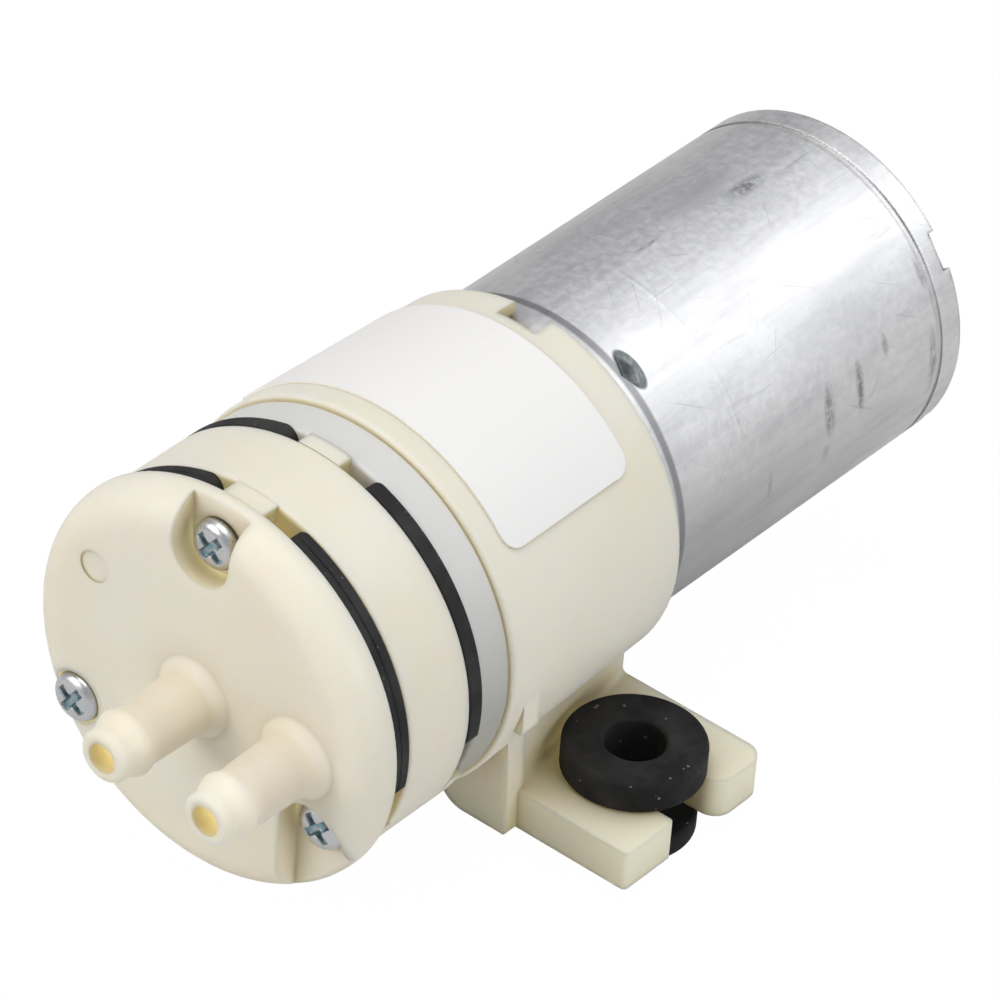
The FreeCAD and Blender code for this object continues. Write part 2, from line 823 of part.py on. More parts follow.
def motor_can():
    """Drawn steel can with a round front shoulder and a bearing boss."""
    boss_front = can_front - can_boss_height
    inner_shoulder = can_shoulder - can_wall
    can = turned([
        (bearing_radius, boss_front),
        (can_boss_radius, boss_front, edge_round),
        (can_boss_radius, can_front),
        (can_radius, can_front, can_shoulder),
        (can_radius, can_rear),
        (can_radius - can_wall, can_rear),
        (can_radius - can_wall, can_front + can_wall, inner_shoulder),
        (bearing_radius + can_wall, can_front + can_wall),
        (bearing_radius + can_wall, boss_front + bearing_length),
        (bearing_radius, boss_front + bearing_length),
    ])
    groove_rear = can_rear - can_groove_rear_gap
    can = can.cut(ring(reach, can_radius - can_groove_depth, groove_rear - can_groove_width, groove_rear))
    for angle in rim_notch_angles:
        can = can.cut(rim_cut(angle))
    for angle in dimple_angles:
        can = can.cut(can_dimple(angle))
    for x in (-0.5 * motor_screw_spacing, 0.5 * motor_screw_spacing):
        can = can.cut(disc(motor_screw_radius, can_front - overlap, can_front + 2 * can_wall, x))
    return can


def bearing(front):
    """Sintered bush for the shaft."""
    return ring(bearing_radius, shaft_radius + bearing_play, front, front + bearing_length)


def rear_bearing_front():
    """Station where the rear bush begins."""
    return cap_rear + cap_boss_height - bearing_length


def motor_end_cap():
    """Moulded cap that closes the can and carries the rear bush and the terminals."""
    cap_radius = can_radius - can_wall
    boss_rear = cap_rear + cap_boss_height
    cap = turned([
        (bearing_radius, cap_front),
        (cap_radius, cap_front),
        (cap_radius, cap_rear, edge_round),
        (cap_boss_radius, cap_rear, edge_round),
        (cap_boss_radius, boss_rear, edge_round),
        (bearing_radius, boss_rear),
    ])
    for angle in rim_notch_angles:
        key = block(-0.5 * rim_notch_width, 0.5 * rim_notch_width, can_rear - rim_notch_depth, cap_rear,
                    axis_height + cap_radius - cap_key_root, axis_height + cap_radius + cap_key_reach)
        key.rotate(AXIS, ALONG, angle)
        cap = cap.fuse(key)
    for x in (-terminal_offset, terminal_offset):
        cap = cap.cut(terminal_slot(x))
    return cap


def upright_strip(x, front, rear):
    """Strip of terminal sheet that stands on edge between two stations."""
    half = 0.5 * terminal_thickness
    return block(x - half, x + half, front, rear,
                 axis_height - 0.5 * terminal_width, axis_height + 0.5 * terminal_width)


def terminal_slot(x):
    """Opening in the end cap for one terminal."""
    return upright_strip(x, cap_front - overlap, cap_rear + overlap)


def motor_terminals():
    """Two solder tabs with a hole each."""
    tabs = []
    rear = cap_rear + terminal_reach
    for x in (-terminal_offset, terminal_offset):
        tab = upright_strip(x, cap_front - overlap, rear)
        start = V(x - terminal_thickness, rear - 0.5 * terminal_width, axis_height)
        hole = Part.makeCylinder(terminal_hole_radius, 2 * terminal_thickness, start, V(1, 0, 0))
        tabs.append(tab.cut(hole))
    return Part.makeCompound(tabs)


def magnets():
    """Two arc magnets against the inside of the can."""
    outer = can_radius - can_wall
    corners = [
        (magnet_inner, magnet_front),
        (outer, magnet_front),
        (outer, magnet_rear),
        (magnet_inner, magnet_rear),
    ]
    return Part.makeCompound([turned(corners, middle - magnet_half_angle, 2 * magnet_half_angle)
                              for middle in (90.0, 270.0)])


def pole_angles():
    """Middle of each armature pole."""
    return [index * 360.0 / pole_count for index in range(pole_count)]


def armature_core():
    """Stacked core with five poles round a yoke."""
    tip_inner = core_radius - pole_tip_thickness
    pieces = [ring(core_yoke_radius, shaft_radius, core_front, core_rear)]
    sweep = 360.0 / pole_count - pole_gap_angle
    corners = [
        (tip_inner, core_front),
        (core_radius, core_front),
        (core_radius, core_rear),
        (tip_inner, core_rear),
    ]
    for angle in pole_angles():
        neck = block(-0.5 * pole_neck_width, 0.5 * pole_neck_width, core_front, core_rear,
                     axis_height + core_yoke_radius - overlap, axis_height + tip_inner + overlap)
        neck.rotate(AXIS, ALONG, angle)
        pieces += [neck, turned(corners, angle - 0.5 * sweep, sweep)]
    return fused(pieces)


def windings():
    """One coil round each pole neck, with round ends beyond the core."""
    coils = []
    outer = core_radius - pole_tip_thickness - winding_side_gap
    rear = core_rear + winding_overhang
    front = core_front - winding_overhang
    half = math.tan(math.radians(180.0 / pole_count)) * winding_inner - 0.5 * winding_side_gap
    wide = 0.5 * pole_neck_width + winding_overhang
    for angle in pole_angles():
        low, high = axis_height + winding_inner, axis_height + outer
        outline = [V(-half, front, low), V(half, front, low), V(wide, front, high), V(-wide, front, high)]
        body = Part.Face(Part.makePolygon(outline + [outline[0]])).extrude(V(0, rear - front, 0))
        slot = block(-0.5 * pole_neck_width, 0.5 * pole_neck_width, core_front, core_rear, 0, high + reach)
        body = body.cut(slot).common(disc(outer, front, rear))
        body.rotate(AXIS, ALONG, angle)
        coils.append(body)
    return Part.makeCompound(coils)


def commutator():
    """Copper barrel on which the brushes run, with a groove between segments."""
    barrel = ring(commutator_radius, shaft_radius, commutator_front, commutator_rear)
    for angle in pole_angles():
        half = 0.5 * commutator_groove_width
        groove = block(-half, half, commutator_front - overlap, commutator_rear + overlap,
                       axis_height + commutator_radius - commutator_groove_depth, axis_height + reach)
        groove.rotate(AXIS, ALONG, angle + 180.0 / pole_count)
        barrel = barrel.cut(groove)
    return barrel


def brushes():
    """Carbon blocks at both sides of the commutator."""
    middle = 0.5 * (commutator_front + commutator_rear)
    inner = commutator_radius + brush_play
    blocks = []
    half = 0.5 * brush_width
    for low in (inner, -inner - brush_length):
        blocks.append(block(low, low + brush_length, middle - half, middle + half,
                            axis_height - half, axis_height + half))
    return Part.makeCompound(blocks)


def brush_arms():
    """Copper leaf springs that press the brushes and run back to the terminals."""
    front = 0.5 * (commutator_front + commutator_rear) - 0.5 * brush_width
    inner = commutator_radius + brush_play + brush_length
    half = 0.5 * terminal_width
    arms = []
    for side in (1, -1):
        leaf_x = sorted((side * inner, side * (inner + brush_arm_thickness)))
        leaf = block(leaf_x[0], leaf_x[1], front, cap_front, axis_height - half, axis_height + half)
        foot_x = sorted((side * inner, side * (terminal_offset + 0.5 * terminal_thickness)))
        foot = block(foot_x[0], foot_x[1], cap_front - brush_arm_thickness, cap_front,
                     axis_height - half, axis_height + half)
        slot = terminal_slot(side * terminal_offset)
        arms.append(fused([leaf, foot]).cut(slot))
    return Part.makeCompound(arms)


def motor_shaft():
    """Steel shaft through both bushes, into the eccentric."""
    return turned([
        (0, shaft_front),
        (shaft_radius, shaft_front, 0.5 * edge_round),
        (shaft_radius, shaft_rear, 0.5 * edge_round),
        (0, shaft_rear),
    ])


def wobble_pin():
    """Inclined steel pin between the eccentric and the wobble plate."""
    return plate_disc(pin_radius, pin_start, pin_end)


def eccentric():
    """Hub on the shaft that holds the inclined pin, with a collar under the wobble plate."""
    hub = turned([
        (0, eccentric_front),
        (eccentric_radius, eccentric_front, 2 * edge_round),
        (eccentric_radius, eccentric_rear, edge_round),
        (0, eccentric_rear),
    ])
    collar = plate_disc(collar_radius, plate_tube_length + collar_gap, pin_end - overlap)
    hub = fused([hub, collar])
    hub = hub.cut(plate_disc(pin_radius, 0, pin_end))
    return hub.cut(disc(shaft_radius, shaft_front, eccentric_rear + overlap))


def wobble_plate():
    """Three-armed plate whose tube runs on the inclined pin."""
    half = 0.5 * plate_thickness
    hub = plate_disc(plate_hub_radius, -half, half)
    pieces = [hub, plate_disc(plate_tube_radius, half - overlap, plate_tube_length)]
    for angle in chamber_angles:
        x, z = polar(chamber_circle_radius, angle)
        pieces.append(plate_disc(plate_pad_radius, -half, half, x, z))
        arm = block(-0.5 * plate_arm_width, 0.5 * plate_arm_width, pivot_y - half, pivot_y + half,
                    axis_height, axis_height + chamber_circle_radius)
        arm.rotate(AXIS, ALONG, angle)
        pieces.append(tilted(arm))
    plate = fused(pieces)
    for angle in chamber_angles:
        x, z = polar(chamber_circle_radius, angle)
        plate = plate.cut(plate_disc(stem_radius + stem_hole_play, -half - overlap, half + overlap, x, z))
    bore_start = pin_start - pin_blind_gap
    return plate.cut(plate_disc(pin_radius + pin_play, bore_start, plate_tube_length + overlap))


NODES = {
    "head_cover": head_cover,
    "cover_gasket": cover_gasket,
    "valve_sheet": valve_sheet,
    "valve_body": valve_body,
    "intake_valves": intake_valves,
    "diaphragm": diaphragm,
    "diaphragm_holder": diaphragm_holder,
    "pump_case": pump_case,
    "cover_screws": cover_screws,
    "motor_screws": motor_screws,
    "grommet_right": lambda: grommet(1),
    "grommet_left": lambda: grommet(-1),
    "case_label": case_label,
    "motor_can": motor_can,
    "motor_end_cap": motor_end_cap,
    "motor_terminals": motor_terminals,
    "front_bearing": lambda: bearing(can_front - can_boss_height),
    "rear_bearing": lambda: bearing(rear_bearing_front()),
    "magnets": magnets,
    "brushes": brushes,
    "brush_arms": brush_arms,
    "motor_shaft": motor_shaft,
    "armature_core": armature_core,
    "windings": windings,
    "commutator": commutator,
    "eccentric": eccentric,
    "wobble_pin": wobble_pin,
    "wobble_plate": wobble_plate,
}

os.makedirs("parts", exist_ok=True)
for name, make in NODES.items():
    shape = make()
    shape.exportStep("parts/" + name + ".step")
    print(name, "solids", len(shape.Solids), "valid", shape.isValid(), "volume", round(shape.Volume, 2))
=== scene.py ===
import math

import bpy
from mathutils import Matrix, Vector

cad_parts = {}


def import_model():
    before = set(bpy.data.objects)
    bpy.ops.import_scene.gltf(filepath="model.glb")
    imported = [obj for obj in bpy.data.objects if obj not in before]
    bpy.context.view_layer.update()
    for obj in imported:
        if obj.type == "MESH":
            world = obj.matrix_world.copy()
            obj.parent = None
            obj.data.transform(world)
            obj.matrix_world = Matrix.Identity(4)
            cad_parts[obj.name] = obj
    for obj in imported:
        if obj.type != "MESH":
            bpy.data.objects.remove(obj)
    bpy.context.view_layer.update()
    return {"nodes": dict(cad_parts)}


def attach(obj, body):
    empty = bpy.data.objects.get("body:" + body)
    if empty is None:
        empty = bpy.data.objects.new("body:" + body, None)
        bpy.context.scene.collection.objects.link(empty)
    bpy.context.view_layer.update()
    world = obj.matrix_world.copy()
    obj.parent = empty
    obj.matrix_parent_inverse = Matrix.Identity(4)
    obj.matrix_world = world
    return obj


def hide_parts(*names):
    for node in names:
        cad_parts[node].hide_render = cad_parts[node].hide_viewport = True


# Looks of the diaphragm vacuum pump: materials, screws, light and camera.
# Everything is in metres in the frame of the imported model: -Y is the nozzle side, +Z is up.

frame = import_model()

MM = 0.001

# Camera that took the photograph, found from the outlines of the pump
CAMERA_PLACE = Vector((0.2520, -0.3284, 0.3401))
CAMERA_RIGHT = Vector((0.76421, 0.64198, 0.06204))
CAMERA_UP = Vector((-0.43073, 0.43639, 0.78997))
CAMERA_BACK = Vector((0.48007, -0.63042, 0.61001))
CAMERA_LENS = 255.67
SENSOR_WIDTH = 36.0
CAMERA_NEAR = 0.01
CAMERA_FAR = 20.0

# Colours, linear
WHITE = (1.0, 1.0, 1.0, 1.0)
CREAM = (0.88, 0.840, 0.735, 1.0)
CREAM_DEEP = (0.86, 0.81, 0.675, 1.0)
# Painted golden shade for the cream plastic's hollows
CREAM_HOLLOW_SHADE = (0.62, 0.54, 0.32, 1.0)
# Painted shade on the nozzles' necks
CREAM_NECK_SHADE = (0.66, 0.62, 0.52, 1.0)
# Painted light: paler cream near the foot
CREAM_FOOT_LIGHT = (0.96, 0.90, 0.71, 1.0)
CREAM_SPECK = (0.30, 0.27, 0.18, 1.0)
# Painted glow of the cream plastic's deepest hollows, which are no lamps
COVER_GLOW = (0.57, 0.52, 0.28, 1.0)
BODY_GLOW = (0.16, 0.13, 0.05, 1.0)
MILKY_GREY = (0.73, 0.73, 0.715, 1.0)
# Painted shade low on the milky holder
MILKY_GREY_SHADE = (0.42, 0.425, 0.40, 1.0)
RUBBER = (0.014, 0.014, 0.015, 1.0)
DUST = (0.30, 0.29, 0.27, 1.0)
ZINC = (0.62, 0.635, 0.66, 1.0)
# Painted shade round the screw heads' rims
ZINC_SHADE = (0.20, 0.21, 0.21, 1.0)
ZINC_BLUE = (0.24, 0.40, 0.46, 1.0)
STEEL_LIGHT = (0.83, 0.83, 0.83, 1.0)
STEEL_DARK = (0.60, 0.60, 0.615, 1.0)
# Painted shade on the can beside the case and low down
STEEL_SHADE = (0.36, 0.36, 0.37, 1.0)
SCRATCH = (0.30, 0.30, 0.32, 1.0)
# Colour of the scuffs, also of the painted shadow line beside the case
SCUFF_AND_SHADOW = (0.20, 0.20, 0.21, 1.0)
# Painted shade in the can's dimples
DIMPLE_SHADE = (0.10, 0.12, 0.12, 1.0)
PAPER = (0.94, 0.935, 0.925, 1.0)
FLOOR_GREY = (0.70, 0.70, 0.70, 1.0)
FILL_COLOUR = (0.97, 0.98, 1.0, 1.0)

# Materials with nothing but a grain and slight clouds: colour, roughness and metal share
PLAIN_LOOKS = {
    "ground_steel": ((0.72, 0.72, 0.73, 1.0), 0.18, 1.0),
    "copper": ((0.62, 0.26, 0.12, 1.0), 0.35, 1.0),
    "bronze": ((0.50, 0.36, 0.18, 1.0), 0.50, 1.0),
    "carbon": ((0.03, 0.03, 0.03, 1.0), 0.60, 0.0),
    "ferrite": ((0.05, 0.05, 0.055, 1.0), 0.55, 0.0),
    "white_nylon": ((0.80, 0.80, 0.76, 1.0), 0.42, 0.0),
    "cap_plastic": ((0.035, 0.035, 0.038, 1.0), 0.45, 0.0),
    "terminal_metal": ((0.72, 0.66, 0.52, 1.0), 0.30, 1.0),
    "core_steel": ((0.38, 0.39, 0.41, 1.0), 0.42, 1.0),
}

# How light travels in the two plastics
CREAM_TRANSLUCENT = {
    "Subsurface Weight": 0.5,
    "Subsurface Radius": (1.0, 0.75, 0.40),
    "Subsurface Scale": 2.2 * MM,
    "Specular IOR Level": 0.35,
}
GREY_TRANSLUCENT = {
    "Subsurface Weight": 0.4,
    "Subsurface Radius": (1.0, 1.0, 1.0),
    "Subsurface Scale": 1.5 * MM,
    "Specular IOR Level": 0.35,
}

# How soft the edges look on each material
COVER_EDGE = 0.8 * MM
BODY_EDGE = 0.7 * MM
HOLDER_EDGE = 0.25 * MM
RUBBER_EDGE = 0.15 * MM
CAN_EDGE = 0.35 * MM
PLAIN_EDGE = 0.10 * MM
PAPER_EDGE = 0.05 * MM

# How far away another surface still counts as near
CREAM_HOLLOW_REACH = 5.0 * MM
CAN_HOLLOW_REACH = 12.0 * MM
RECESS_HOLLOW_REACH = 1.0 * MM

# Specks: how far their soft edge goes for their size; and how strongly dust shows on the rubber
SPECK_EDGE = 1.5
SPECK_DUST = 0.55
THIN_DUST = 0.08

# Darker share of the clouds on the plain materials
PLAIN_DARKER = 0.8

# Samples of the nodes that look at the surroundings of a point
BEVEL_SAMPLES = 4
OPENNESS_SAMPLES = 6

# Sockets of the mix node, which has a set for each kind of value
MIX_FACTOR = 0
MIX_NUMBERS = (2, 3)
MIX_COLOURS = (6, 7)
MIX_COLOUR_RESULT = 2

# Pump axis and the stack screws, as in the solid model
AXIS_HEIGHT = 21.0 * MM
SCREW_CIRCLE = 12.75 * MM
SCREW_SEATS = (-29.2 * MM, -29.2 * MM, -30.8 * MM)
SCREW_TURNS = (50.0, 42.0, 55.0)
HEAD_RADIUS = 2.0 * MM
HEAD_HEIGHT = 1.3 * MM
HEAD_SIDE = 0.45 * MM
DOME_POWER = 3.2
RECESS_REACH = 1.25 * MM
RECESS_HALF_WIDTH = 0.31 * MM
RECESS_CORE = 0.55 * MM
RECESS_DEPTH = 0.85 * MM
RECESS_RISE = 0.6
RECESS_WALL = 0.10 * MM
SHANK_RADIUS = 1.0 * MM
SHANK_LENGTH = 20.0 * MM
THREAD_PITCH = 0.8 * MM
THREAD_DEPTH = 0.16 * MM
POINT_LENGTH = 1.2 * MM
POINT_SHARE = 0.1
HEAD_SEGMENTS = 144
HEAD_RINGS = 54
SHANK_SEGMENTS = 40
RINGS_PER_PITCH = 8

# Necks of the nozzles, which get a painted shade that deepens their colour
NECK_FRONT = -39.0 * MM
NECK_REAR = -31.6 * MM
NECK_FADE = 2.0 * MM
NECK_STRENGTH = 0.7

# Heights of the painted light near the foot: where the cream plastic is palest, and where it is as pale as
# elsewhere
FOOT_PALE_FROM = 4.0 * MM
FOOT_PALE_TO = 9.5 * MM

# Heights between which the milky plastic goes from its painted shade to its own colour
HOLDER_LOW = 18.0 * MM
HOLDER_HIGH = 31.0 * MM

# Motor can: its radius, a faint pressed ring, and a groove beside the case with a painted shadow line in it
CAN_RADIUS = 13.85 * MM
CAN_RING_STATION = 14.3 * MM
CAN_RING_HALF_WIDTH = 0.30 * MM
RING_HEIGHT = 3.0
GROOVE_STATION = 6.65 * MM
GROOVE_HALF_WIDTH = 0.45 * MM
GROOVE_CORE = 0.5 * GROOVE_HALF_WIDTH
GROOVE_SHADOW_STRENGTH = 0.75

# Shares of mottling, clouds and drawing lines in the tone of the can
MOTTLE_SHARE = 0.26
CLOUD_SHARE = 0.42
DRAWN_SHARE = 0.32

# Part of the can with painted shade: arc from the top and station, each from where it starts to where it is
# full
SHADED_ARC = (16.5 * MM, 21.5 * MM)
SHADED_STATION = (34.0 * MM, 10.0 * MM)
LOW_SHADE_STRENGTH = 0.6

# Fine scratches: their directions in degrees from the axis, length for their width, and strength
SCRATCH_TURNS = (4.0, -31.0, 52.0)
SCRATCH_STRETCH = 28.0
SCRATCH_STRENGTH = 0.24

# Marks on the can: arc from the top, station, half arc, half length, strength
AXIAL_MARKS = (
    (0.2 * MM, 29.5 * MM, 0.9 * MM, 2.6 * MM, 0.8),
    (-0.3 * MM, 18.4 * MM, 0.22 * MM, 1.7 * MM, 0.6),
    (-1.9 * MM, 26.0 * MM, 1.6 * MM, 5.0 * MM, 0.25),
)
ROUND_MARKS = (
    (19.1 * MM, 24.4 * MM, 2.6 * MM, 0.80 * MM, 0.9),
    (18.9 * MM, 28.1 * MM, 2.6 * MM, 0.60 * MM, 0.85),
    (16.9 * MM, 31.5 * MM, 1.2 * MM, 0.40 * MM, 0.5),
    (23.0 * MM, 24.0 * MM, 1.2 * MM, 0.50 * MM, 0.6),
    (22.0 * MM, 17.2 * MM, 1.6 * MM, 0.30 * MM, 0.4),
    (13.5 * MM, 37.3 * MM, 1.7 * MM, 0.45 * MM, 0.55),
    (21.4 * MM, 37.0 * MM, 3.8 * MM, 0.60 * MM, 0.75),
)
# Painted shade in the can's dimples, in the same columns as the marks
DIMPLES = (
    (7.35 * MM, 7.7 * MM, 1.95 * MM, 0.95 * MM, 1.0),
    (-36.15 * MM, 7.7 * MM, 1.95 * MM, 0.95 * MM, 1.0),
)

# Floor: its size, its glow, and the shares of the glow that the camera and reflections see
FLOOR_SIZE = 6.0
FLOOR_GLOW = 1.02
FLOOR_GLOW_SEEN = 0.97
FLOOR_GLOW_REFLECTED = 0.10

# Surroundings: fill light, and a reflection that brightens towards one direction
FILL = 0.25
REFLECTED_LOW = 0.44
REFLECTED_HIGH = 0.96
BRIGHT_DIRECTION = (0.49, 0.60, 0.632)
BRIGHT_RANGE = (0.42, 0.95)

# Soft boxes: name, place, width and height, power and colour
SOFT_BOXES = (
    ("key", (0.27, 0.52, 0.56), (0.45, 0.45), 0.65, (1.0, 1.0, 1.0)),
    ("top", (0.0, -0.10, 0.85), (0.60, 0.60), 3.3, (1.0, 1.0, 1.0)),
    ("front", (-0.35, -0.60, 0.40), (0.50, 0.40), 2.5, (1.0, 0.955, 0.90)),
    ("side", (0.80, -0.10, 0.30), (0.40, 0.40), 1.8, (1.0, 1.0, 1.0)),
)


def set_inputs(shader, values):
    """Sets inputs of a shader by their names."""
    for name, value in values.items():
        shader.inputs[name].default_value = value


def material(name, base, roughness, metallic=0.0):
    """New material with a plain shader; returns it with its node tree and shader."""
    made = bpy.data.materials.new(name)
    made.use_nodes = True
    tree = made.node_tree
    shader = tree.nodes["Principled BSDF"]
    set_inputs(shader, {"Base Color": base, "Roughness": roughness, "Metallic": metallic})
    return made, tree, shader


def node(tree, kind, **settings):
    """New shader node with its properties and inputs set by name."""
    made = tree.nodes.new(kind)
    for key, value in settings.items():
        if hasattr(made, key):
            setattr(made, key, value)
        else:
            made.inputs[key.replace("_", " ")].default_value = value
    return made


def math_node(tree, operation, first, second):
    """Value of a two-sided operation; each side is an output socket or a number."""
    made = node(tree, "ShaderNodeMath", operation=operation)
    for side, given in enumerate((first, second)):
        if isinstance(given, (int, float)):
            made.inputs[side].default_value = given
        else:
            tree.links.new(given, made.inputs[side])
    return made.outputs[0]


def scaled(tree, value, by):
    """A value times another, which is an output socket or a number."""
    return math_node(tree, "MULTIPLY", value, by)


def larger(tree, first, second):
    """The larger of two values."""
    return math_node(tree, "MAXIMUM", first, second)


def distance_to(tree, value, middle):
    """How far a value lies from a middle, to either side."""
    return math_node(tree, "ABSOLUTE", math_node(tree, "SUBTRACT", value, middle), 0.0)


def between(tree, value, start, end, at_start=0.0, at_end=1.0):
    """Maps a value that goes from start to end to another range, clamped."""
    made = node(tree, "ShaderNodeMapRange")
    made.inputs["From Min"].default_value = start
    made.inputs["From Max"].default_value = end
    made.inputs["To Min"].default_value = at_start
    made.inputs["To Max"].default_value = at_end
    tree.links.new(value, made.inputs["Value"])
    return made.outputs["Result"]


def mix_colour(tree, factor, low, high):
    """Mix of two colours, each a colour or an output socket."""
    made = node(tree, "ShaderNodeMix", data_type="RGBA")
    tree.links.new(factor, made.inputs[MIX_FACTOR])
    for socket, given in zip(MIX_COLOURS, (low, high)):
        if isinstance(given, tuple):
            made.inputs[socket].default_value = given
        else:
            tree.links.new(given, made.inputs[socket])
    return made.outputs[MIX_COLOUR_RESULT]


def object_place(tree):
    """Place on the object, in the frame's own metres."""
    return node(tree, "ShaderNodeTexCoord").outputs["Object"]


def place_along(tree, axis):
    """Place along one axis of the frame."""
    parts = node(tree, "ShaderNodeSeparateXYZ")
    tree.links.new(object_place(tree), parts.inputs[0])
    return parts.outputs[axis]


def openness(tree, reach):
    """One on open surfaces, less where others are within reach."""
    return node(tree, "ShaderNodeAmbientOcclusion", samples=OPENNESS_SAMPLES, Distance=reach).outputs["AO"]


def noise(tree, scale, detail, roughness=0.55, stretch=None, place=None):
    """Noise value, stretched along chosen axes."""
    made = node(tree, "ShaderNodeTexNoise", Scale=scale, Detail=detail, Roughness=roughness)
    place = place or object_place(tree)
    if stretch:
        spread = node(tree, "ShaderNodeMapping", Scale=stretch)
        tree.links.new(place, spread.inputs["Vector"])
        place = spread.outputs["Vector"]
    tree.links.new(place, made.inputs["Vector"])
    return made.outputs["Fac"]


def specks(tree, scale, size, share):
    """Sparse tiny dots, in a share of the cells of a random pattern."""
    cells = node(tree, "ShaderNodeTexVoronoi", Scale=scale)
    tree.links.new(object_place(tree), cells.inputs["Vector"])
    edge = SPECK_EDGE * size
    dot = between(tree, cells.outputs["Distance"], start=size, end=edge, at_start=1.0, at_end=0.0)
    parts = node(tree, "ShaderNodeSeparateColor")
    tree.links.new(cells.outputs["Color"], parts.inputs[0])
    chosen = math_node(tree, "LESS_THAN", parts.outputs[0], share)
    return scaled(tree, dot, by=chosen)


def soften(tree, shader, edge, grain, strength, depth):
    """Rounds the edges in the shading, with a fine grain on top."""
    bevel = node(tree, "ShaderNodeBevel", samples=BEVEL_SAMPLES, Radius=edge)
    bump = node(tree, "ShaderNodeBump", Strength=strength, Distance=depth)
    tree.links.new(grain, bump.inputs["Height"])
    tree.links.new(bevel.outputs["Normal"], bump.inputs["Normal"])
    tree.links.new(bump.outputs["Normal"], shader.inputs["Normal"])


def nozzle_neck_shade(tree):
    """Strength of the painted shade on the necks between the nozzles' barbs and the cover's face, zero
    elsewhere.
    """
    station = place_along(tree, "Y")
    from_barb = between(tree, station, start=NECK_FRONT, end=NECK_FRONT + NECK_FADE)
    from_face = between(tree, station, start=NECK_REAR, end=NECK_REAR - NECK_FADE)
    return scaled(tree, scaled(tree, from_barb, by=from_face), by=NECK_STRENGTH)


def cream_plastic(name, edge, glow):
    """Moulded, slightly translucent cream plastic, with painted golden shade in its hollows, a painted glow
    in the deepest ones, painted light near the foot and painted shade on the nozzles' necks.
    """
    made, tree, shader = material(name, CREAM, roughness=0.40)
    set_inputs(shader, CREAM_TRANSLUCENT)
    clouds = noise(tree, scale=90.0, detail=2.0)
    colour = mix_colour(tree, between(tree, clouds, start=0.35, end=0.70), CREAM, CREAM_DEEP)
    # Painted light: the cream grows paler towards the foot
    painted_foot_light = between(tree, place_along(tree, "Z"), start=FOOT_PALE_TO, end=FOOT_PALE_FROM)
    colour = mix_colour(tree, painted_foot_light, colour, CREAM_FOOT_LIGHT)
    open_share = openness(tree, CREAM_HOLLOW_REACH)
    # Painted shade: the cream turns golden where other surfaces are near
    colour = mix_colour(tree, between(tree, open_share, start=0.86, end=0.40), colour, CREAM_HOLLOW_SHADE)
    # Painted glow: the deepest hollows give off a golden light
    shader.inputs["Emission Color"].default_value = glow
    tree.links.new(between(tree, open_share, start=0.26, end=0.06), shader.inputs["Emission Strength"])
    # Painted shade on the nozzles' necks
    colour = mix_colour(tree, nozzle_neck_shade(tree), colour, CREAM_NECK_SHADE)
    colour = mix_colour(tree, specks(tree, scale=330.0, size=0.035, share=0.05), colour, CREAM_SPECK)
    tree.links.new(colour, shader.inputs["Base Color"])
    grain = noise(tree, scale=2600.0, detail=2.0)
    soften(tree, shader, edge, grain, strength=0.2, depth=0.01 * MM)
    return made


def grey_plastic():
    """Milky translucent plastic of the diaphragm holder, with painted shade that darkens it low down."""
    made, tree, shader = material("grey_plastic", MILKY_GREY, roughness=0.36)
    set_inputs(shader, GREY_TRANSLUCENT)
    # Painted shade: darker low down
    height = between(tree, place_along(tree, "Z"), start=HOLDER_LOW, end=HOLDER_HIGH)
    tree.links.new(mix_colour(tree, height, MILKY_GREY_SHADE, MILKY_GREY), shader.inputs["Base Color"])
    grain = noise(tree, scale=1400.0, detail=2.0)
    soften(tree, shader, HOLDER_EDGE, grain, strength=0.15, depth=0.01 * MM)
    return made


def rubber(name, speck_scale, shine):
    """Matt black rubber with grain and specks of dust."""
    made, tree, shader = material(name, RUBBER, roughness=0.72)
    shader.inputs["Specular IOR Level"].default_value = shine
    dusty = between(tree, noise(tree, scale=260.0, detail=3.0), start=0.42, end=0.70)
    dots = specks(tree, speck_scale, size=0.12, share=0.22)
    dust = larger(tree, scaled(tree, dots, by=SPECK_DUST), scaled(tree, dusty, by=THIN_DUST))
    tree.links.new(mix_colour(tree, dust, RUBBER, DUST), shader.inputs["Base Color"])
    grain = noise(tree, scale=2400.0, detail=3.0)
    soften(tree, shader, RUBBER_EDGE, grain, strength=0.5, depth=0.02 * MM)
    return made


def zinc_steel():
    """Zinc-plated screws, blue-green inside the recess, with painted shade where other surfaces are near."""
    made, tree, shader = material("zinc", ZINC, roughness=0.28, metallic=1.0)
    # Painted shade: the zinc darkens where other surfaces are near, round the head and in the recess
    crowded = between(tree, openness(tree, RECESS_HOLLOW_REACH), start=0.85, end=0.45)
    shaded_zinc = mix_colour(tree, crowded, ZINC, ZINC_SHADE)
    in_recess = node(tree, "ShaderNodeAttribute", attribute_name="recess").outputs["Fac"]
    stains = noise(tree, scale=2200.0, detail=3.0)
    stained = between(tree, stains, start=0.42, end=0.56, at_start=0.15, at_end=1.0)
    colour = mix_colour(tree, scaled(tree, in_recess, by=stained), shaded_zinc, ZINC_BLUE)
    tree.links.new(colour, shader.inputs["Base Color"])
    clouds = noise(tree, scale=1100.0, detail=3.0)
    roughness = between(tree, clouds, start=0.3, end=0.7, at_start=0.22, at_end=0.40)
    tree.links.new(roughness, shader.inputs["Roughness"])
    soften(tree, shader, PLAIN_EDGE, clouds, strength=0.6, depth=0.03 * MM)
    return made


